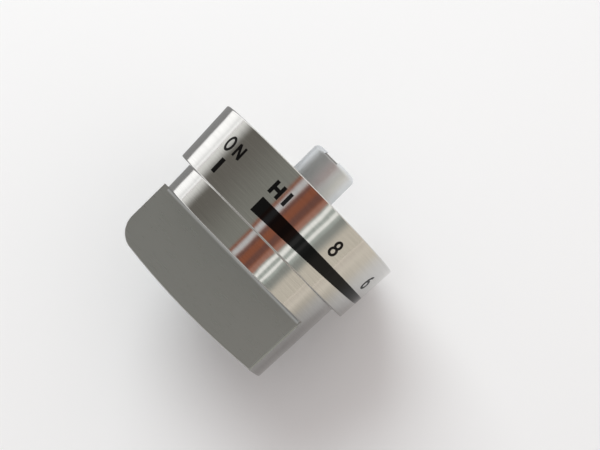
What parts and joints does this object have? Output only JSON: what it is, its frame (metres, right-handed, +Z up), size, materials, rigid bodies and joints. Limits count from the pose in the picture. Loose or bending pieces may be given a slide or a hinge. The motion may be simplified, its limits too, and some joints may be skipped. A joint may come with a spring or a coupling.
{
  "type": "burner control knob",
  "caption": "Metal gas burner control knob: drafted skirt with a heat scale, narrower collar, flat-sided grip bar and a round stem with a D-shaped shaft socket and spring clip.",
  "frame": {"origin": "centre of the shaft socket's mouth, at the end of the stem", "axes": "+Y along the stem towards the panel, -Y towards the person who turns the knob, +Z up with a flat of the grip facing up, as on an upright panel"},
  "size_m": [0.05, 0.0453, 0.05],
  "materials": {
    "plated_casting": "satin plate, brushed round the axis",
    "spring_steel": "bare spring strip"
  },
  "bodies": {
    "root": {"knob_body": "plated_casting", "spring_clip": "spring_steel"}
  },
  "joints": []
}
